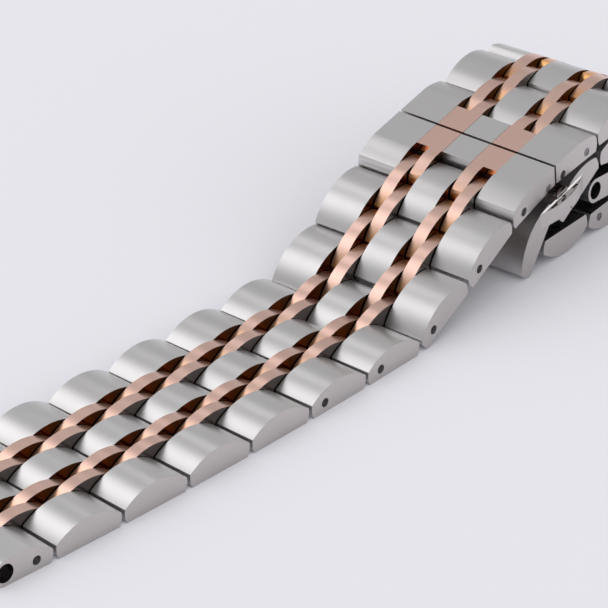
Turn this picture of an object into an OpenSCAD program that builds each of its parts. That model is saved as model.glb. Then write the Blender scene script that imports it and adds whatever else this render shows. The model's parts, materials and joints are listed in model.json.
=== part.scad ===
/* [Strap] */
// Width of the strap across all seven rows
strap_w = 20; // [18:0.5:24]
// Length of one link repeat along the strap
pitch = 8.5; // [8.3:0.1:9]
// Width of the steel centre row
centre_w = 3.7; // [3:0.1:4.5]
// Width of each of the four thin gold rows
thin_w = 1.5; // [1.2:0.05:1.8]
// Side gap between neighbouring rows
row_gap = 0.1; // [0.09:0.01:0.14]

/* [Link section] */
// Crest of a link's dome above its pins
dome_h = 1.85; // [1.6:0.05:2]
// Flat underside of a link below its pins
base_h = 1.1; // [0.9:0.05:1.2]
// Height above the pins at which the dome meets the round end
shoulder_h = 0.46; // [0.3:0.02:0.6]
// Gap between the ends of two links of one row
end_gap = 0.23; // [0.21:0.01:0.3]
// Bevel along the outer edge of the strap
edge_bevel = 0.22; // [0.1:0.02:0.4]

/* [Pins] */
// Diameter of the link pins
pin_d = 0.9; // [0.7:0.05:1]
// Radial play of a pin in the rows that swing on it
pin_play = 0.1; // [0.09:0.01:0.12]
// Radial fit of a pin in the rows that hold it
pin_fit = 0.01; // [0.005:0.005:0.02]
// Steel left over the pin ends of a fixed link
pin_cover = 1.5; // [1:0.1:2.5]
// Depth of a removable pin's end below the side
pin_recess = 0.7; // [0.4:0.1:1.2]

/* [End links] */
// Bore for the spring bar
bar_bore_d = 2; // [1.5:0.1:2]
// Distance from the spring bar to the end link's pin
end_reach = 3.8; // [3.7:0.1:4.2]
// Height of the spring bar's axis above the pins
bar_raise = 0.3; // [0.2:0.05:0.4]
// Outer radius of the barrel round the spring bar
barrel_r = 1.4; // [1.35:0.05:1.5]

/* [Clasp] */
// Distance between the two covers' link pins
clasp_len = 12.2; // [11.8:0.1:12.8]
// Top of the covers above the link pins
cover_h = 2.08; // [1.9:0.02:2.2]
// Gap between the two covers
split_gap = 0.16; // [0.1:0.02:0.3]
// Distance from the split to the pin that joins a cover to its blade
blade_pin_inset = 1.4; // [1.3:0.1:1.6]
// Thickness of the gold inlay bands of the covers
inlay_t = 1.1; // [0.9:0.05:1.2]
// Thickness of the folding blades
blade_t = 0.4; // [0.35:0.05:0.45]
// Thickness of the base plate
plate_t = 0.4; // [0.35:0.05:0.45]
// Half width of the blades and the base plate
plate_half_w = 4.7; // [4:0.1:5]
// Diameter of the pins that join the blades to the base plate
hinge_pin_d = 0.6; // [0.5:0.05:0.65]

/* [Push buttons] */
// Length of the half-moon button along the strap
button_len = 8.2; // [7.6:0.1:8.6]
// Rise of the half-moon's arc
button_bulge = 0.9; // [0.7:0.05:1.2]
// Height of the button
button_h = 1.9; // [1.7:0.05:2]
// Distance of the button's inner face beyond the strap's side
button_stand = 0.7; // [0.65:0.05:0.9]
// Travel of the button
button_travel = 0.5; // [0.3:0.05:0.55]
// Width of the button's stem along the strap
stem_w = 2; // [1.6:0.1:2.2]

/* [Pose] */
// Sideways bend of the strap at each pin, in degrees
side_bend = 0.48; // [0:0.02:0.5]
// Twist of the strap at each pin before the clasp, in degrees
twist = 0.7; // [0:0.1:0.7]

/* [Hidden] */
$fn = 48;
// Bend at each pin in degrees, positive towards the wrist, from the first end link to the clasp
near_bend = [0, 0, 0, 0, 0, 0, 0, 0, 0, 0, 0, 0, -12, -15, -1, 1, 5, 12];
// The same from the clasp, over the crest and under it, to the second end link
far_bend = [-1, 7, 12, 38, 43, 65, 13, 10, 7, -4, 0, 125.5, 50, -25.5, 19.5, 20, 131.25, 44];
clasp_at = len(near_bend);
last = clasp_at + len(far_bend);
straight_after_clasp = 5;
twisted_pins = [14, 15, 16, 17, 18, 24, 25, 26];
untwisted_pins = [20, 21, 22];
first_removable = 5;
last_removable = 12;
last_link = 16;
last_joiner = 18;
links_before_clasp = 8;
flush = 0.05;
half = pitch / 2;
end_r = (half - end_gap) / 2;
flat_x = half / 2 + sqrt(pow(end_r, 2) - pow(shoulder_h, 2));
dome_rise = dome_h - shoulder_h;
dome_r = (pow(flat_x, 2) + pow(dome_rise, 2)) / (2 * dome_rise);
pin_r = pin_d / 2;
floor_z = -bar_raise - base_h;
// Row edges, from the middle of the strap outwards
centre_y = centre_w / 2;
inner_y = [centre_y + row_gap, centre_y + row_gap + thin_w];
mid_y = [inner_y[1] + row_gap, inner_y[1] + row_gap + thin_w];
outer_y = [mid_y[1] + row_gap, strap_w / 2];
// Clasp levels and places in the clasp's own frame: x along the strap from the first link pin
split_x = clasp_len / 2;
cover_end_x = split_x - split_gap / 2;
blade_pin_x = split_x - blade_pin_inset;
notch_x = end_r + 0.25;
crest_x = 2.4;
cover_dome_r = 9;
cover_low_z = -1.14;
cover_low_split_z = -0.35;
cover_tail = cover_end_x + end_r;
cover_tilt = atan((cover_low_split_z - cover_low_z) / cover_tail);
inlay_low_z = cover_h - inlay_t;
blade_top_z = -1.15;
blade_low_z = blade_top_z - blade_t;
plate_top_z = blade_low_z - 0.08;
plate_low_z = plate_top_z - plate_t;
hinge_x = 2.1;
hinge_z = -1.54;
hinge_r = 0.5;
knuckle_r = 0.8;
knuckle_half_w = 1.55;
slot_half_w = knuckle_half_w + 0.12;
slot_x = blade_pin_x - knuckle_r - 0.2;
slot_top_z = knuckle_r + 0.12;
web_w = 1;
blade_end_x = blade_pin_x - web_w / 2 - 0.15;
guide_x = [blade_end_x + 0.15, clasp_len - blade_end_x - 0.15];
guide_inset = 1.2;
guide_y = [stem_w, outer_y[1] - guide_inset];
guide_top_z = -0.62;
stem_z = [-1.45, -1];
spring_space = 1.6;
guide_back = 0.6;
stem_tip_y = guide_y[0] + guide_back + spring_space;
stem_play = 0.08;
neck_y = guide_y[1] + button_travel + 0.15;
neck_h = 0.6;
button_top_z = -1.4;
button_in_y = strap_w / 2 + button_stand;
arc_r = (pow(button_len / 2, 2) + pow(button_bulge, 2)) / (2 * button_bulge);
slit_w = 0.22;
slit_len = 0.9;
slit_deep = 0.35;
slit_x = 2;
notch_w = 0.4;
foot_w = 1.1;
foot_h = 0.4;
lap = 0.2;
spring_r = 0.2;
window_w = 2;
window_deep = 0.3;
window_inset = 0.3;
spring_gap = 0.1;

LINKS = [for (k = [1 : last_link]) str("link_", k)];
JOINERS = [for (k = [1 : last_joiner]) str("joiner_", k)];

// Rigid moves as matrices
function turn_x(a) = [[1, 0, 0, 0], [0, cos(a), -sin(a), 0], [0, sin(a), cos(a), 0], [0, 0, 0, 1]];
function turn_up(a) = [[cos(a), 0, -sin(a), 0], [0, 1, 0, 0], [sin(a), 0, cos(a), 0], [0, 0, 0, 1]];
function turn_z(a) = [[cos(a), -sin(a), 0, 0], [sin(a), cos(a), 0, 0], [0, 0, 1, 0], [0, 0, 0, 1]];
function shift(x, z = 0) = [[1, 0, 0, x], [0, 1, 0, 0], [0, 0, 1, z], [0, 0, 0, 1]];
function has(list, v) = len([for (e = list) if (e == v) e]) > 0;

// Turn at pin k, and the length of piece k from its first pin to its second
function bend_at(k) = k > clasp_at ? far_bend[k - clasp_at - 1] : near_bend[k - 1];
function side_at(k) = k > clasp_at && k <= clasp_at + straight_after_clasp ? 0 : side_bend;
function twist_at(k) = has(twisted_pins, k) ? twist : has(untwisted_pins, k) ? -twist : 0;
function length_of(k) = k == 0 ? end_reach : k == clasp_at ? clasp_len : half;
function turn_at(k) = turn_z(side_at(k)) * turn_up(-bend_at(k)) * turn_x(twist_at(k));

// Frame of piece k: its first pin's middle, x to its second pin, z out of the strap
FRAMES = [for (k = 0, m = shift(0, -bar_raise); k <= last;
    k = k + 1, m = k <= last ? m * shift(length_of(k - 1)) * turn_at(k) : m) m];

module at_piece(k) { multmatrix(FRAMES[k]) children(); }

// Round bar along y, from y0 to y1
module bar(r, y0, y1, x = 0, z = 0) {
    translate([x, y1, z]) rotate([90, 0, 0]) cylinder(h = y1 - y0, r = r);
}

// Block from corner to corner
module block(x0, x1, y0, y1, z0, z1) {
    translate([x0, y0, z0]) cube([x1 - x0, y1 - y0, z1 - z0]);
}

// The children on both sides of the strap's middle
module both_sides() {
    children();
    mirror([0, 1, 0]) children();
}

// Drum along y whose rim is bevelled at its far end
module bevelled_drum(r, y0, y1, bevel) {
    if (bevel > 0)
        rotate([-90, 0, 0]) rotate_extrude($fn = 96)
            polygon([[0, y0], [r, y0], [r, y1 - bevel], [r - bevel, y1], [0, y1]]);
    else
        bar(r, y0, y1, $fn = 96);
}

// One row's piece of a link, from y0 to y1, around the pins at x = 0 and x = half
module row_piece(y0, y1, bevel = 0) {
    intersection() {
        translate([half / 2, 0, dome_h - dome_r]) bevelled_drum(dome_r, y0, y1, bevel);
        union() {
            bar(end_r, y0, y1);
            bar(end_r, y0, y1, half);
            block(0, half, y0, y1, -base_h, dome_h);
        }
        block(-end_r, half + end_r, y0, y1, -base_h, dome_h);
    }
}

// Holes for the two pins of a joiner
module pin_holes(r, y0, y1) {
    bar(r, y0, y1);
    bar(r, y0, y1, half);
}

// Half length of a link's pin at x, where the pin at open_x can be pushed out
function pin_reach(x, open_x, recess) = strap_w / 2 - (x == open_x ? recess : pin_cover);

// Solid pin across the strap
module link_pin(reach, x = 0) { bar(pin_r, -reach, reach, x); }

module full_link(open_x, recess) {
    color("silver") both_sides() difference() {
        row_piece(outer_y[0], outer_y[1], edge_bevel);
        for (x = [0, half])
            bar(pin_r + pin_fit, outer_y[0] - 1,
                x == open_x ? strap_w : pin_reach(x, open_x, recess) + 0.05, x);
    }
    color("rosybrown") both_sides() difference() {
        row_piece(inner_y[0], inner_y[1]);
        pin_holes(pin_r + pin_fit, inner_y[0] - 1, inner_y[1] + 1);
    }
    color("gray") for (x = [0, half]) link_pin(pin_reach(x, open_x, recess), x);
}

module joiner() {
    color("silver") difference() {
        row_piece(-centre_y, centre_y);
        pin_holes(pin_r + pin_play, -centre_y - 1, centre_y + 1);
    }
    color("rosybrown") both_sides() difference() {
        row_piece(mid_y[0], mid_y[1]);
        pin_holes(pin_r + pin_play, mid_y[0] - 1, mid_y[1] + 1);
    }
}

// One row's piece of an end link: pin at x = 0, barrel for the spring bar at x = end_reach
module end_row(y0, y1, bevel = 0) {
    difference() {
        union() {
            intersection() {
                translate([half / 2, 0, dome_h - dome_r]) bevelled_drum(dome_r, y0, y1, bevel);
                union() {
                    bar(end_r, y0, y1);
                    block(0, end_reach, y0, y1, -base_h, bar_raise + barrel_r);
                }
                block(-end_r, end_reach, y0, y1, -base_h, bar_raise + barrel_r);
            }
            bar(barrel_r, y0, y1, end_reach, bar_raise);
        }
        bar(pin_r + pin_fit, y0 - 1, y1 > mid_y[1] ? strap_w / 2 + 1 : y1 + 1);
        bar(bar_bore_d / 2, y0 - 1, y1 + 1, end_reach, bar_raise);
    }
}

module end_link() {
    color("silver") both_sides() end_row(outer_y[0], outer_y[1], edge_bevel);
    color("rosybrown") both_sides() end_row(inner_y[0], inner_y[1]);
    color("gray") link_pin(strap_w / 2 - pin_recess);
}

// Outer form of a cover from y0 to y1: link pin at x = 0, split face at x = cover_end_x
module cover_form(y0, y1, bevel = 0) {
    intersection() {
        union() {
            translate([crest_x, 0, cover_h - cover_dome_r])
                bevelled_drum(cover_dome_r, y0, y1, bevel);
            difference() {
                block(crest_x, cover_end_x, y0, y1, cover_low_z, cover_h);
                if (bevel > 0) translate([crest_x, y1, cover_h - bevel]) rotate([45, 0, 0])
                    cube([cover_tail, 1, 1]);
            }
        }
        union() {
            bar(end_r, y0, y1);
            block(0, cover_end_x, y0, y1, 2 * cover_low_z, cover_h);
        }
        translate([-end_r, 0, cover_low_z]) rotate([0, -cover_tilt, 0])
            block(-1, cover_tail + 1, y0, y1, 0, 2 * cover_h);
    }
}

module cover() {
    color("silver") difference() {
        union() {
            both_sides() cover_form(outer_y[0], outer_y[1], edge_bevel);
            intersection() {
                cover_form(-outer_y[0] - lap, outer_y[0] + lap);
                union() {
                    block(notch_x, cover_end_x, -centre_y, centre_y, cover_low_z, cover_h);
                    block(notch_x, cover_end_x, -outer_y[0] - lap, outer_y[0] + lap,
                        cover_low_z, inlay_low_z);
                }
            }
        }
        bar(pin_r + pin_fit, -strap_w, strap_w);
        bar(pin_r + pin_fit, -strap_w, strap_w, blade_pin_x);
        block(slot_x, split_x, -slot_half_w, slot_half_w, 2 * cover_low_z, slot_top_z);
    }
}

module cover_inlays() {
    color("rosybrown") both_sides() difference() {
        union() {
            intersection() {
                cover_form(inner_y[0], outer_y[0]);
                block(notch_x, cover_end_x, centre_y, outer_y[0], inlay_low_z, cover_h);
            }
            intersection() {
                cover_form(centre_y, inner_y[1]);
                union() {
                    block(-end_r, notch_x, inner_y[0], inner_y[1], cover_low_z, cover_h);
                    block(notch_x, cover_end_x, centre_y, inner_y[1], inlay_low_z, cover_h);
                }
            }
        }
        bar(pin_r + pin_fit, 0, strap_w);
    }
}

// Pins of a cover with the recess of the link pin's and the blade pin's ends
module cover_pins(link_recess, blade_recess) {
    color("gray") {
        link_pin(strap_w / 2 - link_recess);
        link_pin(strap_w / 2 - blade_recess, blade_pin_x);
    }
}

module blade() {
    color("darkgray") difference() {
        union() {
            bar(knuckle_r, -knuckle_half_w, knuckle_half_w, blade_pin_x);
            block(blade_pin_x - web_w / 2, blade_pin_x + web_w / 2,
                -knuckle_half_w, knuckle_half_w, blade_low_z, 0);
            block(hinge_x, blade_end_x, -plate_half_w, plate_half_w, blade_low_z, blade_top_z);
            block(blade_end_x, blade_pin_x, -knuckle_half_w, knuckle_half_w, blade_low_z, blade_top_z);
            bar(hinge_r, -plate_half_w / 2, plate_half_w / 2, hinge_x, hinge_z);
        }
        bar(pin_r + pin_play / 2, -strap_w, strap_w, blade_pin_x);
        bar(hinge_pin_d / 2 + pin_play / 2, -strap_w, strap_w, hinge_x, hinge_z);
        both_sides() block(hinge_x - 1, hinge_x + hinge_r + 0.1,
            plate_half_w / 2, plate_half_w + 1, 2 * blade_low_z, 0);
    }
}

// Mirrors its children into the second half of the clasp
module second_half() { translate([clasp_len, 0, 0]) mirror([1, 0, 0]) children(); }

module base_plate() {
    color("darkgray") difference() {
        union() {
            block(hinge_x + hinge_r + 0.1, clasp_len - hinge_x - hinge_r - 0.1,
                -plate_half_w, plate_half_w, plate_low_z, plate_top_z);
            for (far = [0, 1]) translate([far * clasp_len, 0, 0]) mirror([far, 0, 0])
                both_sides() {
                    bar(hinge_r, plate_half_w / 2 + 0.1, plate_half_w, hinge_x, hinge_z);
                    block(hinge_x, hinge_x + hinge_r + 0.5, plate_half_w / 2 + 0.1, plate_half_w,
                        plate_low_z, plate_top_z);
                }
        }
        for (x = [hinge_x, clasp_len - hinge_x])
            bar(hinge_pin_d / 2 + pin_fit, -strap_w, strap_w, x, hinge_z);
    }
}

module hinge_pins() {
    color("gray") for (x = [hinge_x, clasp_len - hinge_x])
        bar(hinge_pin_d / 2, -plate_half_w, plate_half_w, x, hinge_z);
}

module catch_frame() {
    channel = [split_x - stem_w / 2 - stem_play, split_x + stem_w / 2 + stem_play];
    color("silver") difference() {
        union() {
            both_sides() block(guide_x[0], guide_x[1], guide_y[0], guide_y[1],
                plate_top_z, guide_top_z);
            block(blade_pin_x + web_w / 2 + 0.15, clasp_len - blade_pin_x - web_w / 2 - 0.15,
                -guide_y[0], guide_y[0], plate_top_z, guide_top_z - 0.5);
        }
        both_sides() {
            block(channel[0], channel[1], guide_y[0] + guide_back, strap_w,
                stem_z[0] - stem_play, stem_z[1] + stem_play);
        }
        both_sides() for (x = [guide_x[0] - window_w, guide_x[1] - window_deep])
            block(x, x + window_w + window_deep, plate_half_w + window_inset, guide_y[1] - window_w,
                plate_low_z, guide_top_z - window_deep);
    }
}

// Half-moon push button on the positive side
module button() {
    color("silver") difference() {
        union() {
            intersection() {
                translate([split_x, button_in_y + button_bulge - arc_r, button_top_z - button_h])
                    cylinder(h = button_h, r = arc_r, $fn = 96);
                block(0, clasp_len, button_in_y, strap_w, button_top_z - button_h, button_top_z);
            }
            block(split_x - stem_w / 2, split_x + stem_w / 2, stem_tip_y, button_in_y + 0.1,
                stem_z[0], stem_z[1]);
            block(split_x - stem_w / 2, split_x + stem_w / 2, neck_y, button_in_y + 0.1,
                button_top_z - neck_h, stem_z[1]);
        }
        for (side = [-1, 1]) translate([split_x + side * slit_x, button_in_y + 0.25, 0])
            block(-slit_len / 2, slit_len / 2, 0, slit_w, button_top_z - slit_deep, button_top_z + 1);
        block(split_x - notch_w / 2, split_x + notch_w / 2, button_in_y + 0.15, button_in_y + 0.4,
            button_top_z - slit_deep, button_top_z + 1);
        block(split_x - foot_w / 2, split_x + foot_w / 2, button_in_y - 1, strap_w,
            button_top_z - button_h - 1, button_top_z - button_h + foot_h);
    }
}

module button_springs() {
    color("gray") both_sides() for (side = [-1, 1])
        bar(spring_r, guide_y[0] + guide_back + spring_gap, stem_tip_y - button_travel - spring_gap,
            split_x + side * stem_w / 4, (stem_z[0] + stem_z[1]) / 2);
}

at_piece(0) translate([end_reach, 0, 0]) mirror([1, 0, 0]) end_link();  // end_link_1
at_piece(last) end_link();  // end_link_2
for (k = [1 : last_link])
    at_piece(k <= links_before_clasp ? 2 * k : 2 * k + 2)
            full_link(k < first_removable || k > last_removable ? -1 : k <= links_before_clasp ? 0 : half,
                k <= links_before_clasp ? pin_recess : flush);
for (k = [1 : last_joiner])
    at_piece(2 * k - 1) joiner();
at_piece(clasp_at) cover();  // cover_1
at_piece(clasp_at) second_half() cover();  // cover_2
at_piece(clasp_at) cover_inlays();  // cover_1_inlays
at_piece(clasp_at) second_half() cover_inlays();  // cover_2_inlays
at_piece(clasp_at) cover_pins(pin_recess, flush);  // cover_1_pins
at_piece(clasp_at) second_half() cover_pins(flush, pin_recess);  // cover_2_pins
at_piece(clasp_at) blade();  // blade_1
at_piece(clasp_at) second_half() blade();  // blade_2
at_piece(clasp_at) base_plate();
at_piece(clasp_at) catch_frame();
at_piece(clasp_at) hinge_pins();
at_piece(clasp_at) mirror([0, 1, 0]) button();  // button_right
at_piece(clasp_at) button();  // button_left
at_piece(clasp_at) button_springs();
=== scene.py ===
import json
import math
import random
import bpy
from mathutils import Matrix, Vector


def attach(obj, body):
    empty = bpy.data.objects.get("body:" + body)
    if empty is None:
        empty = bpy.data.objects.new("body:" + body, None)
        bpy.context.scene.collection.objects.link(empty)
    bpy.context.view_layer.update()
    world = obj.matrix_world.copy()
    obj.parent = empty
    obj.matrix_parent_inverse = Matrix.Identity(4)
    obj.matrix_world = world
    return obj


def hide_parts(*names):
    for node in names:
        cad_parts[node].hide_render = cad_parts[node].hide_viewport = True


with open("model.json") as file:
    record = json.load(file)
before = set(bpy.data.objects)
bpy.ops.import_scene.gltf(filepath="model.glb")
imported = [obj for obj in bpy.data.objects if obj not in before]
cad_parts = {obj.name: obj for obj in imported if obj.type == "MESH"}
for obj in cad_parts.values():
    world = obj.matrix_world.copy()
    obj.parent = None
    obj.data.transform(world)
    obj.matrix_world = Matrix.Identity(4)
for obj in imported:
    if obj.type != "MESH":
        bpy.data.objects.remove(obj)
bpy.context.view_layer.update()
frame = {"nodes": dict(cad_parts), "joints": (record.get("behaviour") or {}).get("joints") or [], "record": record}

MM = 0.001

# Sizes of the bracelet in millimetres, as in the CAD source. A piece's own place has x along the
# strap, y across it and z out of its outer face, with the origin in the middle of its first pin.
STRAP_W = 20.0

# Links and joiners: HALF is half the link repeat, the way from one pin to the next
HALF = 4.25
END_GAP = 0.23
END_R = (HALF - END_GAP) / 2
DOME_H = 1.85
BASE_H = 1.1
SHOULDER_H = 0.46
FLAT_X = HALF / 2 + math.sqrt(END_R ** 2 - SHOULDER_H ** 2)
DOME_R = (FLAT_X ** 2 + (DOME_H - SHOULDER_H) ** 2) / (2 * (DOME_H - SHOULDER_H))

# Rows across the strap, from y to y, and the bevels of their outer edges
CENTRE_Y = 1.85
INNER_Y = (1.95, 3.45)
MID_Y = (3.55, 5.05)
OUTER_Y = (5.15, 10.0)
EDGE_BEVEL = 0.22
END_BEVEL = 0.18
LOW_BEVEL = 0.2

# Cross pins: covered, recessed in an open hole, or flush with a split ring round the end
PIN_R = 0.45
HOLE_R = PIN_R + 0.05
PIN_COVER = 1.5
PIN_RECESS = 0.7
FLUSH = 0.05
OPEN_HOLE = PIN_RECESS + 0.1
FLUSH_HOLE = 0.12
RING_R = PIN_R + 0.1
RING_CORE_R = 0.36
RING_GAP = 0.07
RING_DEPTH = 0.14

# End links: the spring bar's barrel and bore
END_REACH = 3.8
BAR_RAISE = 0.3
BAR_R = 1.0
BARREL_R = 1.4

# Clasp covers: from the link pin to the split in the clasp's middle, with a sloping underside
CLASP_LEN = 12.2
SPLIT_X = CLASP_LEN / 2
COVER_END = SPLIT_X - 0.16
COVER_H = 2.08
NOTCH_X = END_R + 0.25
CREST_X = 2.4
COVER_DOME_R = 9.0
COVER_RIM_Z = 0.95
COVER_LOW = -1.14
COVER_LOW_SPLIT = -0.35
INLAY_LOW = COVER_H - 1.1
BLADE_PIN_X = 4.7
SLOT_X = 3.7
SLOT_HALF_W = 1.67
SLOT_TOP = 0.92

# Push buttons: a plate, the slits and the mark cut from its inner edge, and the stem
BUTTON_IN_Y = 10.7
BUTTON_LEN = 8.2
BUTTON_BULGE = 0.9
ARC_R = ((BUTTON_LEN / 2) ** 2 + BUTTON_BULGE ** 2) / (2 * BUTTON_BULGE)
BUTTON_TOP = -1.4
BUTTON_H = 1.9
BUTTON_RIM = 0.14
BUTTON_DISH = 0.1
FOOT_HALF_W = 0.55
FOOT_H = 0.4
SLIT_X = 2
SLIT_HALF_W = 0.45
SLIT_Y = (0.25, 0.47)
MARK_HALF_W = 0.2
MARK_Y = (0.15, 0.4)
CUT_DEEP = 0.45
STEM_HALF_W = 1
STEM_Y = 4.2
STEM_Z = (-1.45, -1)
NECK_Y = 9.45
NECK_H = 0.6

# The plane that the strap lies on
FLOOR_Z = -1.4

# Covers are cut from a blank, which only has to be larger than they are
BLANK_FLAT = 6
BLANK_LEN = 12
BLANK_H = 4

# How far a cutter or a lapped piece goes past, how near a corner counts as on a plane, how wide the
# softened edges are, and how many sides the round bars have
PAST = 1
LAP = 0.1
TOUCH = 1e-4
SOFT = 0.06
SOFT_GOLD = 0.05
SOFT_WEB = 0.03
DOME_SIDES = 256
COVER_SIDES = 384
END_SIDES = 96
PIN_HOLE_SIDES = 48
PIN_SIDES = 40


# Materials

def srgb(code):
    """Linear colour of an sRGB hex value."""
    parts = [int(code[i:i + 2], 16) / 255 for i in (1, 3, 5)]
    return [c / 12.92 if c <= 0.04045 else ((c + 0.055) / 1.055) ** 2.4 for c in parts] + [1.0]


def node(tree, kind, values=None, links=None, **settings):
    """Adds a node, sets its settings and socket values, and links its inputs."""
    made = tree.nodes.new(kind)
    for key, value in settings.items():
        setattr(made, key, value)
    for key, value in (values or {}).items():
        made.inputs[key].default_value = value
    for key, source in (links or {}).items():
        tree.links.new(source, made.inputs[key])
    return made


def new_material(name):
    made = bpy.data.materials.new(name)
    made.use_nodes = True
    made.node_tree.nodes.clear()
    return made, made.node_tree


def new_metal(name, own_grain):
    """New material, with the place that its patterns read and the length of a millimetre there."""
    made, tree = new_material(name)
    if own_grain:
        grain = node(tree, "ShaderNodeAttribute", attribute_name="grain")
        return made, tree, grain.outputs["Vector"], 1.0
    return made, tree, node(tree, "ShaderNodeTexCoord").outputs["Object"], 1.0 / MM


# Repeats in a millimetre: brushed lines along and up the strap, patches of wear, and hairlines
LINES_ALONG, LINES_UP = 0.22, 0.3
PATCHES_ALONG, PATCHES_ACROSS = 0.12, 0.35
HAIRLINES = 1.6
# How much the wear changes the roughness, how high a line stands in metres, and between which
# heights of a bar, in millimetres, its colour deepens into a painted orange reflection of itself
WEAR = 0.012
LINE_HEIGHT = 0.00002
REFLECTION_FULL_Z, REFLECTION_GONE_Z = 0.4, 1.65


def brushed_metal(name, colour, tone, roughness, spread, line, depth, own_grain=True, low=None):
    """Metal brushed along the strap: long fine lines, a line's width in millimetres apart.

    The brushing widens the sheen across the strap. With low, the colour deepens towards a bar's
    ends, a painted orange reflection of the gold in itself.
    """
    made, tree, place, unit = new_metal(name, own_grain)
    stretch = node(tree, "ShaderNodeMapping", links={"Vector": place},
                   values={"Scale": (LINES_ALONG * unit, unit / line, LINES_UP * unit)})
    lines = node(tree, "ShaderNodeTexNoise", links={"Vector": stretch.outputs["Vector"]},
                 values={"Scale": 1.0, "Detail": 4.0, "Roughness": 0.65})
    wide = node(tree, "ShaderNodeMapping", links={"Vector": place},
                values={"Scale": (PATCHES_ALONG * unit, PATCHES_ACROSS * unit,
                                  PATCHES_ACROSS * unit)})
    cloud = node(tree, "ShaderNodeTexNoise", links={"Vector": wide.outputs["Vector"]},
                 values={"Scale": 1.0, "Detail": 2.0})
    shade = node(tree, "ShaderNodeMix", data_type="RGBA", links={"Factor": lines.outputs["Fac"]},
                 values={"A": srgb(tone), "B": srgb(colour)})
    base = shade.outputs["Result"]
    # Painted reflection: the orange low colour, towards a bar's ends, stands in for the gold mirroring itself
    if low:
        split = node(tree, "ShaderNodeSeparateXYZ", links={"Vector": place})
        painted_reflection_amount = node(tree, "ShaderNodeMapRange", interpolation_type="SMOOTHSTEP",
                          links={"Value": split.outputs["Z"]},
                          values={"From Min": REFLECTION_FULL_Z, "From Max": REFLECTION_GONE_Z,
                                  "To Min": 1.0, "To Max": 0.0})
        base = node(tree, "ShaderNodeMix", data_type="RGBA",
                    links={"Factor": painted_reflection_amount.outputs["Result"], "A": base},
                    values={"B": srgb(low)}).outputs["Result"]
    rough = node(tree, "ShaderNodeMapRange", links={"Value": lines.outputs["Fac"]},
                 values={"From Min": 0.25, "From Max": 0.75, "To Min": roughness - spread,
                         "To Max": roughness + spread})
    uneven = node(tree, "ShaderNodeMapRange", links={"Value": cloud.outputs["Fac"]},
                  values={"From Min": 0.2, "From Max": 0.8, "To Min": -WEAR, "To Max": WEAR})
    total = node(tree, "ShaderNodeMath", operation="ADD", use_clamp=True,
                 links={0: rough.outputs["Result"], 1: uneven.outputs["Result"]})
    bump = node(tree, "ShaderNodeBump", links={"Height": lines.outputs["Fac"]},
                values={"Strength": depth, "Distance": LINE_HEIGHT})
    across_strap = node(tree, "ShaderNodeCombineXYZ", values={"X": 0.0, "Y": 0.94, "Z": 0.34})
    metal = node(tree, "ShaderNodeBsdfPrincipled", values={"Metallic": 1.0, "Anisotropic": 0.5},
                 links={"Base Color": base, "Roughness": total.outputs["Value"],
                        "Normal": bump.outputs["Normal"],
                        "Tangent": across_strap.outputs["Vector"]})
    node(tree, "ShaderNodeOutputMaterial", links={"Surface": metal.outputs["BSDF"]})
    return made


def polished_metal(name, colour, tone, roughness, own_grain=True):
    """Buffed metal with faint hairlines in every direction."""
    made, tree, place, unit = new_metal(name, own_grain)
    size = node(tree, "ShaderNodeMapping", links={"Vector": place}, values={"Scale": (unit,) * 3})
    smear = node(tree, "ShaderNodeTexNoise", links={"Vector": size.outputs["Vector"]},
                 values={"Scale": HAIRLINES, "Detail": 5.0, "Roughness": 0.6})
    shade = node(tree, "ShaderNodeMix", data_type="RGBA", links={"Factor": smear.outputs["Fac"]},
                 values={"A": srgb(tone), "B": srgb(colour)})
    rough = node(tree, "ShaderNodeMapRange", links={"Value": smear.outputs["Fac"]},
                 values={"From Min": 0.3, "From Max": 0.7, "To Min": roughness * 0.7,
                         "To Max": roughness * 1.3})
    metal = node(tree, "ShaderNodeBsdfPrincipled", values={"Metallic": 1.0},
                 links={"Base Color": shade.outputs["Result"],
                        "Roughness": rough.outputs["Result"]})
    node(tree, "ShaderNodeOutputMaterial", links={"Surface": metal.outputs["BSDF"]})
    return made


# Stainless steel, satin brushed along the strap: grey with a soft white sheen on the domes
satin_steel = brushed_metal("satin_brushed_stainless_steel", "#DCDADA", "#D4D2D2",
                            0.37, 0.02, 0.14, 0.02)
# The strap's outer sides, ground flat: a calmer, slightly warmer grey than the domes, its darker tone painted
# shade of the sides
side_steel = brushed_metal("ground_steel_with_painted_side_shade", "#D7D1CF", "#CEC8C6", 0.4, 0.02, 0.14, 0.02)
# Row walls that face a steel row, gold bars' walls too, and the buttons' slits and stems and the pins'
# ring grooves: a duller, warmer grey of painted shade, on the walls with a painted reflection of the
# steel beside them, which turns dark between two rows
painted_shade_steel_wall = polished_metal("row_wall_painted_shade_and_steel_reflection", "#B4A8A4", "#A2968F", 0.2)
# Undersides of the rows and the end links' bores, buffed once: a dull grey, darkened as painted shade, that stays
# dark inside the coil
painted_shade_underside_steel = polished_metal("underside_steel_buffed_painted_shade", "#8C898A", "#807D7E", 0.3)
# Rose gold plate on the gold rows' undersides and bores, buffed once: a dull brownish pink, darkened as painted
# shade
painted_shade_underside_gold = polished_metal("underside_rose_gold_buffed_painted_shade", "#B08A78", "#A27D6B", 0.3)
# Stainless steel, buffed to a mirror: notch faces, the covers' undersides, the buttons' tops
bright_steel = polished_metal("buffed_stainless_steel", "#E2E1E1", "#D8D6D6", 0.1)
# Rose gold plate over brushed steel: pinkish on the flats, and orange towards the bars' ends as a painted
# reflection of the gold in itself
satin_gold = brushed_metal("brushed_rose_gold_plate", "#F0CCBE", "#E6BFB1", 0.32, 0.02, 0.14, 0.02,
                           low="#F5B67A")
# Row walls that face a gold row, steel bars' walls too: brown-black, painted shade with a painted reflection of
# the gold beside them, and an orange glint
painted_shade_gold_wall = polished_metal("row_wall_painted_shade_and_gold_reflection", "#866240", "#6E4E30", 0.16)
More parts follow.
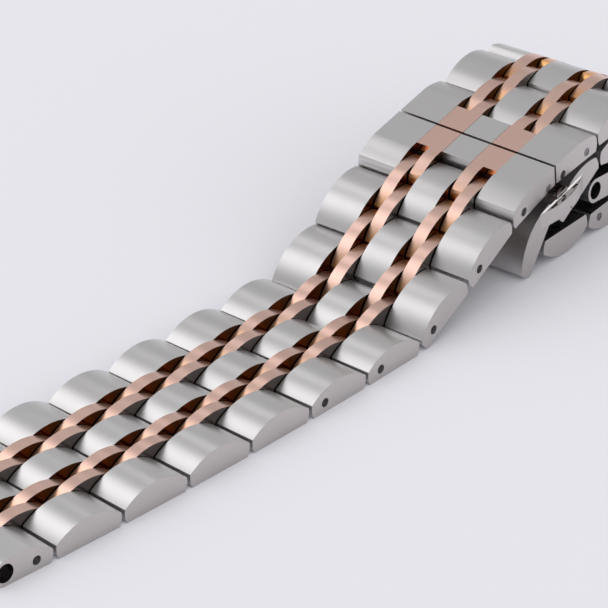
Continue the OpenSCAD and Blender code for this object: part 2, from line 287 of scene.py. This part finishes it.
# Rose gold plate, buffed: the covers' notch faces
bright_gold = polished_metal("buffed_rose_gold_plate", "#F6C2A4", "#F0B898", 0.1)
# Turned pin steel: darker, as painted shade at the bottom of the pin holes, with a dull end face
pin_steel = polished_metal("turned_pin_steel", "#8E8D90", "#77767A", 0.3)
# Rolled spring steel of the blades and the base plate
sheet_steel = brushed_metal("rolled_spring_steel", "#B9B8BA", "#A5A4A7",
                            0.3, 0.06, 0.2, 0.2, own_grain=False)
# Machined catch frame under the covers
machined_steel = polished_metal("machined_stainless_steel", "#A9A8AA", "#98979A",
                                0.24, own_grain=False)
# Drawn wire of the springs and the hinge pins
wire_steel = polished_metal("drawn_wire_steel", "#97969A", "#85848A", 0.3, own_grain=False)


# Modelling helpers, in millimetres at the piece's own place

def alone(piece):
    if bpy.context.object and bpy.context.object.mode != "OBJECT":
        bpy.ops.object.mode_set(mode="OBJECT")
    bpy.ops.object.select_all(action="DESELECT")
    if piece:
        piece.select_set(True)
        bpy.context.view_layer.objects.active = piece


def pick(piece, kind, test):
    """Opens piece in edit mode with the vertices, edges or faces that pass the test selected."""
    alone(piece)
    mesh = piece.data
    for part in (mesh.vertices, mesh.edges, mesh.polygons):
        part.foreach_set("select", [False] * len(part))
    bpy.context.tool_settings.mesh_select_mode = (kind == "VERT", kind == "EDGE", kind == "FACE")
    spots = [v.co for v in mesh.vertices]
    if kind == "VERT":
        for v in mesh.vertices:
            v.select = test(v.co)
    elif kind == "EDGE":
        for e in mesh.edges:
            e.select = all(test(spots[i]) for i in e.vertices)
    else:
        for f in mesh.polygons:
            f.select = test(f.center, f.normal)
    bpy.ops.object.mode_set(mode="EDIT")


def done():
    bpy.ops.object.mode_set(mode="OBJECT")


def stretched_bar(name, radius, x0, x1, z, y0, y1, steps=64):
    """Bar along y whose round section is stretched flat from x0 to x1."""
    alone(None)
    bpy.ops.mesh.primitive_cylinder_add(
        vertices=steps, radius=radius, depth=y1 - y0, location=(x0, (y0 + y1) / 2, z),
        rotation=(math.pi / 2, math.pi / steps, 0))
    piece = bpy.context.object
    piece.name = name
    bpy.ops.object.transform_apply(location=True, rotation=True, scale=True)
    if x1 > x0:
        pick(piece, "VERT", lambda co: co.x > x0)
        bpy.ops.transform.translate(value=(x1 - x0, 0, 0))
        done()
    return piece


def block(name, x0, x1, y0, y1, z0, z1):
    alone(None)
    bpy.ops.mesh.primitive_cube_add(size=1, location=((x0 + x1) / 2, (y0 + y1) / 2, (z0 + z1) / 2),
                                    scale=(x1 - x0, y1 - y0, z1 - z0))
    piece = bpy.context.object
    piece.name = name
    bpy.ops.object.transform_apply(location=True, rotation=True, scale=True)
    return piece


def combine(piece, tool, how):
    """Cuts, joins or intersects piece with tool, and uses the tool up."""
    step = piece.modifiers.new("combine", "BOOLEAN")
    step.operation = how
    step.solver = "EXACT"
    step.object = tool
    alone(piece)
    bpy.ops.object.modifier_apply(modifier=step.name)
    bpy.data.objects.remove(tool)
    return piece


def trim(piece, point, normal):
    """Cuts off what lies on the normal's side of a plane and closes the cut."""
    alone(piece)
    bpy.ops.object.mode_set(mode="EDIT")
    bpy.ops.mesh.select_all(action="SELECT")
    bpy.ops.mesh.bisect(plane_co=point, plane_no=normal, use_fill=True, clear_outer=True,
                        threshold=1e-5)
    done()
    return piece


def drill(piece, x, y1, depth):
    """Sinks a pin hole from the side at y1."""
    hole = stretched_bar("hole", HOLE_R, x, x, 0, y1 - depth, y1 + PAST, PIN_HOLE_SIDES)
    return combine(piece, hole, "DIFFERENCE")


def chamfer(piece, size, test):
    """Bevels the edges whose both ends pass the test."""
    pick(piece, "EDGE", test)
    bpy.ops.mesh.bevel(offset=size, offset_type="WIDTH", segments=1, affect="EDGES",
                       clamp_overlap=True)
    done()
    return piece


def soften(piece, width, steps=2, angle=24):
    """Breaks every sharp edge and smooths the curved faces."""
    edge = piece.modifiers.new("edge", "BEVEL")
    edge.width = width
    edge.segments = steps
    edge.limit_method = "ANGLE"
    edge.angle_limit = math.radians(angle)
    edge.use_clamp_overlap = True
    alone(piece)
    bpy.ops.object.modifier_apply(modifier=edge.name)
    bpy.ops.object.shade_smooth_by_angle(angle=math.radians(30))
    flat = piece.modifiers.new("flat", "WEIGHTED_NORMAL")
    flat.keep_sharp = True
    bpy.ops.object.modifier_apply(modifier=flat.name)
    return piece


def mirrored_copy(piece):
    """Copy of piece on the strap's other side."""
    alone(piece)
    bpy.ops.object.duplicate()
    twin = bpy.context.object
    twin.data.transform(Matrix.Scale(-1, 4, Vector((0, 1, 0))))
    twin.data.flip_normals()
    return twin


def joined(name, pieces):
    alone(pieces[0])
    for piece in pieces:
        piece.select_set(True)
    bpy.context.view_layer.objects.active = pieces[0]
    if len(pieces) > 1:
        bpy.ops.object.join()
    made = bpy.context.object
    made.name = name
    return made


def paint(piece, *tests):
    """Gives each face the finish of the first test that it passes, or else the first finish."""
    for face in piece.data.polygons:
        passed = [number for number, test in enumerate(tests, 1) if test(face.center, face.normal)]
        face.material_index = passed[0] if passed else 0
    return piece


patterns = {}


def keep(name, piece):
    """Stores a finished pattern piece with its own grain coordinates."""
    piece.name = "pattern_" + name
    grain = piece.data.attributes.new("grain", "FLOAT_VECTOR", "POINT")
    flat = [0.0] * (3 * len(piece.data.vertices))
    piece.data.vertices.foreach_get("co", flat)
    grain.data.foreach_set("vector", flat)
    patterns[name] = piece


dice = random.Random(7)
GRAIN_SHIFT = 40


def place(name, pattern, at, body, stands_for, slot, finishes):
    """Copies a pattern piece, in millimetres, to its place on the strap, in metres."""
    mesh = patterns[pattern].data.copy()
    mesh.name = name
    mesh.transform(at @ Matrix.Scale(MM, 4))
    grain = mesh.attributes["grain"]
    flat = [0.0] * (3 * len(mesh.vertices))
    grain.data.foreach_get("vector", flat)
    shift = [dice.uniform(-GRAIN_SHIFT, GRAIN_SHIFT), dice.uniform(-GRAIN_SHIFT, GRAIN_SHIFT), 0.0]
    grain.data.foreach_set("vector", [value + shift[i % 3] for i, value in enumerate(flat)])
    # A scaled mesh reads its stored normals wrongly, so they are set anew as plain vectors
    turn = at.to_3x3()
    corners = patterns[pattern].data.corner_normals
    normals = [value for corner in corners for value in turn @ corner.vector]
    if "custom_normal" in mesh.attributes:
        mesh.attributes.remove(mesh.attributes["custom_normal"])
    plain = mesh.attributes.new("custom_normal", "FLOAT_VECTOR", "CORNER")
    plain.data.foreach_set("vector", normals)
    for finish in finishes:
        mesh.materials.append(finish)
    piece = bpy.data.objects.new(name, mesh)
    bpy.context.scene.collection.objects.link(piece)
    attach(piece, body)
    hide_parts(stands_for)
    return piece


# Links and joiners: a domed bar over two pins, round at both ends, flat underneath

def domed_bar(name, x1, y0, y1):
    """Bar under the link's dome, with a round end at the first pin and one at x1."""
    bar = stretched_bar(name, DOME_R, HALF / 2, HALF / 2, DOME_H - DOME_R, y0, y1, DOME_SIDES)
    ends = stretched_bar("ends", END_R, 0, x1, 0, y0 - PAST, y1 + PAST, END_SIDES)
    combine(bar, ends, "INTERSECT")
    return trim(bar, (0, 0, -BASE_H), (0, 0, -1))


def on_rim(co, y1):
    """Whether a corner lies on the upper edge of the side face at y1."""
    return co.y > y1 - TOUCH and co.z > SHOULDER_H - 0.02


def link_bar(name, y0, y1, rim=0.0, holes=()):
    bar = domed_bar(name, HALF, y0, y1)
    if rim:
        chamfer(bar, rim, lambda co: on_rim(co, y1))
    for x, depth in holes:
        drill(bar, x, y1, depth)
    return bar


# Which finish a face gets, by its middle and its normal. A face counts as facing a way when this
# much of its normal points there. The walls, undersides and bores that these tests pick get
# darker finishes of painted shade.
FACING = 0.7


def wall(centre, normal):
    return abs(normal.y) > FACING


def outer_side(centre, normal):
    return wall(centre, normal) and normal.y * centre.y > 0


def inner_side(centre, normal):
    return wall(centre, normal) and normal.y * centre.y < 0


def outer_face(centre, normal):
    return wall(centre, normal) and abs(centre.y) > OUTER_Y[1] - 0.3


def underside(centre, normal):
    return normal.z < -0.8


def inner_wall(centre, normal):
    return wall(centre, normal) and abs(centre.y) < OUTER_Y[1] - 1.0


def pair(bar):
    return joined("pair", [bar, mirrored_copy(bar)])


# Walls and undersides take the darker finishes: painted shade, with a painted reflection of the row beside them on
# the walls
for label, holes in (("plain", ()), ("near", ((0, OPEN_HOLE),)), ("far", ((HALF, FLUSH_HOLE),))):
    side = pair(link_bar("outer", *OUTER_Y, EDGE_BEVEL, holes))
    keep("outer_" + label, paint(soften(side, SOFT), inner_wall, underside, outer_face))
keep("inner", paint(soften(pair(link_bar("inner", *INNER_Y)), SOFT_GOLD),
                    outer_side, inner_side, underside))
keep("middle", paint(soften(pair(link_bar("middle", *MID_Y)), SOFT_GOLD),
                     inner_side, outer_side, underside))
keep("centre", paint(soften(link_bar("centre", -CENTRE_Y, CENTRE_Y), SOFT), wall, underside))


# End links: the same section at the pin, running into a barrel for the spring bar

def end_bar(name, y0, y1, rim=0.0, hole=0.0):
    bar = domed_bar(name, HALF * 2, y0, y1)
    trim(bar, (END_REACH, 0, 0), (1, 0, 0))
    trim(bar, (0, 0, BAR_RAISE + BARREL_R), (0, 0, 1))
    if rim:
        chamfer(bar, rim, lambda co: on_rim(co, y1) and co.x < END_REACH - 0.2)
    seat_x = (END_REACH, END_REACH, BAR_RAISE)
    combine(bar, stretched_bar("barrel", BARREL_R, *seat_x, y0, y1, END_SIDES), "UNION")
    combine(bar, stretched_bar("bore", BAR_R, *seat_x, y0 - PAST, y1 + PAST), "DIFFERENCE")
    if hole:
        drill(bar, 0, y1, hole)
    return bar


def in_bore(centre, normal):
    distance = math.hypot(centre.x - END_REACH, centre.z - BAR_RAISE)
    return distance < BAR_R + 0.01 and abs(normal.y) < 0.5


# Painted shade: the bore takes the undersides' darker finish
def under_or_bore(centre, normal):
    return underside(centre, normal) or in_bore(centre, normal)


# Walls, undersides and the bore take the darker finishes of painted shade
keep("end_outer", paint(soften(pair(end_bar("end_outer", *OUTER_Y, END_BEVEL, OPEN_HOLE)), SOFT),
                        inner_wall, under_or_bore, outer_face))
keep("end_inner", paint(soften(pair(end_bar("end_inner", *INNER_Y)), SOFT_GOLD),
                        outer_side, inner_side, under_or_bore))


# Pins: turned bars with a broken edge; flush ones show a split ring round their end

def pin(reach, x, ring=False):
    bar = stretched_bar("pin", PIN_R, x, x, 0, -reach, reach, PIN_SIDES)
    if ring:
        for side in (-1, 1):
            low, high = sorted((side * (reach - RING_DEPTH), side * (reach + LAP)))
            ends = (low - 2 * LAP, high + 2 * LAP)
            groove = stretched_bar("groove", RING_R, x, x, 0, low, high, PIN_SIDES)
            core = stretched_bar("core", RING_CORE_R, x, x, 0, *ends, PIN_SIDES)
            combine(groove, core, "DIFFERENCE")
            gap = block("gap", x - RING_GAP, x + RING_GAP, *ends, LAP, PAST)
            combine(groove, gap, "DIFFERENCE")
            combine(bar, groove, "DIFFERENCE")
    soften(bar, 0.02 if ring else 0.05, 2, 50)
    # Painted shade: the groove of a split ring takes the darker wall finish, a dark ring round the satin end face
    return paint(bar, lambda centre, normal: ring and abs(centre.y) > reach - 0.2 and
                 (not wall(centre, normal) or abs(centre.y) < reach - 0.1),
                 lambda centre, normal: ring and wall(centre, normal))


blind = STRAP_W / 2 - PIN_COVER
open_end = STRAP_W / 2 - PIN_RECESS
flush_end = STRAP_W / 2 - FLUSH
keep("pins_plain", joined("pins", [pin(blind, 0), pin(blind, HALF)]))
keep("pins_near", joined("pins", [pin(open_end, 0), pin(blind, HALF)]))
keep("pins_far", joined("pins", [pin(blind, 0), pin(flush_end, HALF, True)]))
keep("pin_end", pin(open_end, 0))
keep("pins_cover_1", joined("pins", [pin(open_end, 0), pin(flush_end, BLADE_PIN_X, True)]))
keep("pins_cover_2", joined("pins", [pin(flush_end, 0, True), pin(open_end, BLADE_PIN_X)]))


# Covers: a flat top that rolls down to the link pin, tapering underneath to the split

def cover_form(name, y0, y1, x0=None, rim=0.0, top=None, holes=()):
    """Slice of a cover from y0 to y1, cut off before x0 and above top, with a rim and pin holes."""
    across = (y0 - PAST, y1 + PAST)
    form = stretched_bar(name, COVER_DOME_R, CREST_X, CREST_X + BLANK_FLAT, COVER_H - COVER_DOME_R,
                         y0, y1, COVER_SIDES)
    combine(form, stretched_bar("ends", END_R, 0, BLANK_LEN, 0, *across, END_SIDES), "INTERSECT")
    combine(form, block("room", -END_R - PAST, COVER_END, *across, -BLANK_H, BLANK_H), "INTERSECT")
    slope = Vector((COVER_END + END_R, 0, COVER_LOW_SPLIT - COVER_LOW)).normalized()
    trim(form, (-END_R, 0, COVER_LOW), (slope.z, 0, -slope.x))
    if x0 is not None:
        trim(form, (x0, 0, 0), (-1, 0, 0))
    if top is not None:
        trim(form, (0, 0, top), (0, 0, 1))
    if rim:
        up = Vector((-slope.z, 0, slope.x))
        chamfer(form, rim, lambda co: co.y > y1 - TOUCH and
                (co.z > COVER_RIM_Z and co.x < COVER_END - TOUCH or co.z > COVER_H - 0.01))
        chamfer(form, LOW_BEVEL, lambda co: co.y > y1 - TOUCH and
                (co - Vector((-END_R, co.y, COVER_LOW))).dot(up) < 0.002)
    for x, depth in holes:
        drill(form, x, y1, depth)
    return form


def cut_slot(piece):
    """Makes room for the blade's knuckle."""
    slot = block("slot", SLOT_X, SPLIT_X + PAST, -SLOT_HALF_W, SLOT_HALF_W, -BLANK_H, SLOT_TOP)
    return combine(piece, slot, "DIFFERENCE")


def cover(label, link_hole, blade_hole):
    side = soften(pair(cover_form("side", *OUTER_Y, None, EDGE_BEVEL, None,
                                  ((0, link_hole), (BLADE_PIN_X, blade_hole)))), SOFT)
    middle = soften(cover_form("middle", -CENTRE_Y, CENTRE_Y, NOTCH_X), SOFT)
    web_y = OUTER_Y[0] + LAP
    under = cover_form("under", -web_y, web_y, NOTCH_X + 0.02, 0.0, INLAY_LOW)
    cut_slot(under)
    cut_slot(middle)
    whole = joined("cover", [side, middle, soften(under, SOFT_WEB)])
    # The inner walls take the brown painted shade and gold reflection
    keep(label, paint(whole, inner_wall, lambda centre, normal: normal.z < -0.3, outer_face))


cover("cover_1", OPEN_HOLE, FLUSH_HOLE)
cover("cover_2", FLUSH_HOLE, OPEN_HOLE)


def inlay():
    band = cover_form("band", CENTRE_Y, OUTER_Y[0], NOTCH_X)
    trim(band, (0, 0, INLAY_LOW), (0, 0, -1))
    finger = cover_form("finger", INNER_Y[0], INNER_Y[1])
    trim(finger, (NOTCH_X + 0.5, 0, 0), (1, 0, 0))
    combine(band, finger, "UNION")
    return soften(pair(band), SOFT_GOLD)


def notch_face(centre, normal):
    return normal.x < -0.75 and centre.x > 1


# The inlays' walls take the brown painted shade and gold reflection
keep("inlays", paint(inlay(), wall, notch_face))


# Push button: a half-moon plate with a rimmed top, two slits and a small mark beside the strap,
# and the stem that reaches into the clasp

def button():
    centre_y = BUTTON_IN_Y + BUTTON_BULGE - ARC_R
    alone(None)
    bpy.ops.mesh.primitive_cylinder_add(vertices=360, radius=ARC_R, depth=BUTTON_H,
                                        location=(SPLIT_X, centre_y, BUTTON_TOP - BUTTON_H / 2))
    plate = bpy.context.object
    bpy.ops.object.transform_apply(location=True, rotation=True, scale=True)
    trim(plate, (0, BUTTON_IN_Y, 0), (0, -1, 0))
    pick(plate, "FACE", lambda centre, normal: normal.z > 0.9)
    bpy.ops.mesh.inset(thickness=BUTTON_RIM, depth=0)
    bpy.ops.transform.translate(value=(0, 0, -BUTTON_DISH))
    done()
    low = BUTTON_TOP - BUTTON_H
    foot = block("foot", SPLIT_X - FOOT_HALF_W, SPLIT_X + FOOT_HALF_W, BUTTON_IN_Y - PAST, STRAP_W,
                 low - PAST, low + FOOT_H)
    combine(plate, foot, "DIFFERENCE")
    for shift, half_w, y in ((-SLIT_X, SLIT_HALF_W, SLIT_Y), (SLIT_X, SLIT_HALF_W, SLIT_Y),
                             (0, MARK_HALF_W, MARK_Y)):
        slit = block("slit", SPLIT_X + shift - half_w, SPLIT_X + shift + half_w,
                     BUTTON_IN_Y + y[0], BUTTON_IN_Y + y[1], BUTTON_TOP - CUT_DEEP, 0)
        combine(plate, slit, "DIFFERENCE")
    soften(plate, 0.05, 2, 35)
    stem_x = (SPLIT_X - STEM_HALF_W, SPLIT_X + STEM_HALF_W)
    stem = block("stem", *stem_x, STEM_Y, BUTTON_IN_Y + LAP, *STEM_Z)
    neck = block("neck", *stem_x, NECK_Y, BUTTON_IN_Y + LAP, BUTTON_TOP - NECK_H, STEM_Z[1])
    return joined("button", [plate, soften(stem, 0.04), soften(neck, SOFT)])


# Painted shade: the stem and the slits' deep faces take the darker wall finish
def stem_and_slit_shade(centre, normal):
    near_slit = centre.y < BUTTON_IN_Y + SLIT_Y[1] + 0.01 and abs(centre.x - SPLIT_X) < 2.6
    in_slit = near_slit and BUTTON_TOP - 0.5 < centre.z < BUTTON_TOP - 0.11
    deep = abs(normal.z) < 0.5 or centre.z < BUTTON_TOP - 0.3
    return centre.y < BUTTON_IN_Y - 0.01 or in_slit and deep


keep("button", paint(button(), stem_and_slit_shade, lambda centre, normal: normal.z > FACING))


# Places along the strap, read from the frame's joints: pin k and the row axis through it

joints = {joint["name"]: joint for joint in frame["joints"]}
LAST = 36
CLASP = 18
# Links 1 to 8 lie before the clasp. Links 5 to 8 show the open hole of their first pin, and links 9
# to 12 the flush end of their second.
LINKS_BEFORE_CLASP = 8
FIRST_PIN_SHOWS = range(5, 9)
SECOND_PIN_SHOWS = range(9, 13)
pin_at = {k: Vector(joints[f"strap_pin_{k}"]["pos_m"]) for k in range(1, LAST + 1)}
mounts = {mount["name"]: mount for mount in frame["record"]["mounts"]}


def row_axis(values):
    axis = Vector(values).normalized()
    return axis if axis.y > 0 else -axis


def seat(origin, along, across):
    """Frame of a piece: its first pin's middle, x to the next pin, y across the strap."""
    across = across.normalized()
    along = (along - across * along.dot(across)).normalized()
    up = along.cross(across)
    turn = Matrix((along, across, up)).transposed().to_4x4()
    return Matrix.Translation(origin) @ turn


def moved(x, y, z, turned=False):
    step = Matrix.Translation((x * MM, y * MM, z * MM))
    return step @ Matrix.Rotation(math.pi, 4, "Z") if turned else step


seats = {0: Matrix.Translation((0, 0, -BAR_RAISE * MM))}
for k in range(1, LAST):
    axis = row_axis(joints[f"strap_pin_{k}"]["axis"])
    seats[k] = seat(pin_at[k], pin_at[k + 1] - pin_at[k], axis)
across = row_axis(joints[f"strap_pin_{LAST}"]["axis"])
reach = Vector(mounts["spring_bar_bore_2"]["pos_m"]) - pin_at[LAST]
along = END_REACH * reach + BAR_RAISE * across.cross(reach)
seats[LAST] = seat(pin_at[LAST], along, across)


# Pieces at their places, each with the finishes that its painted faces take. The darker wall,
# underside, slit and groove finishes are painted shade, the walls' brown and grey painted
# reflections of the row beside them.

STEEL = [satin_steel, painted_shade_gold_wall, painted_shade_underside_steel, side_steel]
GOLD = [satin_gold, painted_shade_gold_wall, painted_shade_steel_wall, painted_shade_underside_gold]
COVER = [satin_steel, painted_shade_gold_wall, bright_steel, side_steel]
BANDS = [satin_gold, painted_shade_gold_wall, bright_gold]
BUTTON = [side_steel, painted_shade_steel_wall, bright_steel]
PINS = [pin_steel, painted_shade_steel_wall, satin_steel]
SLOTS = {"satin_steel": STEEL, "rose_gold": GOLD, "pin_steel": PINS}


def dress(node_name, at, *parts):
    """Places a node's pieces, each given by its name's end, its pattern and its slot."""
    for ending, pattern, slot in parts:
        place(node_name + ending, pattern, at, node_name, node_name, slot, SLOTS[slot])


for node_name, at in (("end_link_1", seats[0] @ moved(END_REACH, 0, 0, True)),
                      ("end_link_2", seats[LAST])):
    dress(node_name, at, ("_outer_bars", "end_outer", "satin_steel"),
          ("_inner_bars", "end_inner", "rose_gold"), ("_cross_pin", "pin_end", "pin_steel"))
for number in range(1, LAST // 2 - 1):
    pin_number = 2 * number if number <= LINKS_BEFORE_CLASP else 2 * number + 2
    kind = ("near" if number in FIRST_PIN_SHOWS else
            "far" if number in SECOND_PIN_SHOWS else "plain")
    dress(f"link_{number}", seats[pin_number], ("_outer_bars", "outer_" + kind, "satin_steel"),
          ("_inner_bars", "inner", "rose_gold"), ("_cross_pins", "pins_" + kind, "pin_steel"))
for number in range(1, LAST // 2 + 1):
    dress(f"joiner_{number}", seats[2 * number - 1], ("_middle_bars", "middle", "rose_gold"),
          ("_centre_bar", "centre", "satin_steel"))

clasp = seats[CLASP]
turned_clasp = clasp @ moved(CLASP_LEN, 0, 0, True)
for label, at in (("cover_1", clasp), ("cover_2", turned_clasp)):
    place(label + "_body", label, at, label, label, "satin_steel", COVER)
    place(label + "_gold_bands", "inlays", at, label, label + "_inlays", "rose_gold", BANDS)
    place(label + "_cross_pins", "pins_" + label, at, label, label + "_pins", "pin_steel", PINS)
for side, at in (("left", clasp), ("right", turned_clasp)):
    body = "button_" + side
    place("push_button_" + side, "button", at, body, body, "button_steel", BUTTON)

for pattern in patterns.values():
    bpy.data.objects.remove(pattern)

finish_of = {"blade_1": sheet_steel, "blade_2": sheet_steel, "base_plate": sheet_steel,
             "catch_frame": machined_steel, "hinge_pins": wire_steel, "button_springs": wire_steel}
for node_name, finish in finish_of.items():
    carried = frame["nodes"][node_name]
    carried.data.materials.clear()
    carried.data.materials.append(finish)


# Floor: pale matt card, the plane that the strap lies on
alone(None)
bpy.ops.mesh.primitive_plane_add(size=4, location=(0.05, 0.01, FLOOR_Z * MM))
floor = bpy.context.object
floor.name = "floor"
card, tree = new_material("pale_matt_card")
matt = node(tree, "ShaderNodeBsdfDiffuse", values={"Color": srgb("#E6E6EB"), "Roughness": 0.5})
node(tree, "ShaderNodeOutputMaterial", links={"Surface": matt.outputs["BSDF"]})
floor.data.materials.append(card)


# Light: a studio dome. Metal mirrors an even grey on the far side and the dark room behind the
# camera, and matt surfaces get a steady white. One softbox gives the domes their white band, a
# small one the coil, and a far one the side faces.
world = bpy.data.worlds.new("studio")
bpy.context.scene.world = world
world.use_nodes = True
tree = world.node_tree
tree.nodes.clear()
# How bright the far side is, from the horizon at 0 to the zenith at 1
LEVELS = ((0.0, 0.74), (0.2, 0.62), (0.4, 0.45), (0.52, 0.45), (0.72, 0.58), (1.0, 0.56))
DARK_ROOM = (0.1, 0.1, 0.1, 1)
STEADY_WHITE = (1.03, 1.03, 1.035, 1)
spot = node(tree, "ShaderNodeTexCoord")
height = node(tree, "ShaderNodeSeparateXYZ", links={"Vector": spot.outputs["Generated"]})
ramp = node(tree, "ShaderNodeValToRGB", links={"Fac": height.outputs["Z"]})
while len(ramp.color_ramp.elements) < len(LEVELS):
    ramp.color_ramp.elements.new(0.5)
for element, (spot_at, level) in zip(ramp.color_ramp.elements, LEVELS):
    element.position = spot_at
    element.color = (level, level, level * 1.01, 1)
rays = node(tree, "ShaderNodeLightPath")
near_side = node(tree, "ShaderNodeMapRange", interpolation_type="SMOOTHSTEP",
                 links={"Value": height.outputs["Y"]},
                 values={"From Min": -0.35, "From Max": 0.15, "To Min": 1.0, "To Max": 0.0})
mirrored = node(tree, "ShaderNodeMix", data_type="RGBA",
                links={"Factor": near_side.outputs["Result"], "A": ramp.outputs["Color"]},
                values={"B": DARK_ROOM})
steady = node(tree, "ShaderNodeMix", data_type="RGBA",
              links={"Factor": rays.outputs["Is Glossy Ray"], "B": mirrored.outputs["Result"]},
              values={"A": STEADY_WHITE})
sky = node(tree, "ShaderNodeBackground", links={"Color": steady.outputs["Result"]},
           values={"Strength": 1.0})
node(tree, "ShaderNodeOutputWorld", links={"Surface": sky.outputs["Background"]})


def softbox(name, place_at, aim, width, height, radiance):
    """Rectangular lamp of a given radiance that only mirrors see."""
    light = bpy.data.lights.new(name, "AREA")
    light.shape = "RECTANGLE"
    light.size = width
    light.size_y = height
    light.energy = radiance * math.pi * width * height
    piece = bpy.data.objects.new(name, light)
    piece.location = place_at
    piece.rotation_euler = (Vector(aim) - Vector(place_at)).to_track_quat("-Z", "Y").to_euler()
    piece.visible_diffuse = False
    bpy.context.scene.collection.objects.link(piece)


softbox("dome_softbox", (-0.001, 0.087, 0.1), (0.035, 0.0, 0.0), 0.065, 0.11, 1.22)
softbox("coil_softbox", (0.073, 0.05, 0.075), (0.084, 0.006, 0.012), 0.022, 0.018, 1.35)
softbox("edge_softbox", (0.28, -0.16, 0.24), (0.08, -0.01, 0.01), 0.12, 0.12, 1.1)


# Camera: fitted to the photograph, a long lens from the near left
eye = bpy.data.cameras.new("camera")
eye.sensor_width = 36
eye.lens = 212.38
eye.clip_start = 0.01
camera = bpy.data.objects.new("camera", eye)
camera.matrix_world = Matrix((
    (0.720417, 0.344039, -0.602193, -0.171211),
    (-0.693531, 0.352636, -0.628222, -0.228680),
    (-0.003778, 0.870221, 0.492646, 0.184934),
    (0, 0, 0, 1)))
bpy.context.scene.collection.objects.link(camera)
bpy.context.scene.camera = camera

bpy.context.scene.view_settings.view_transform = "Standard"
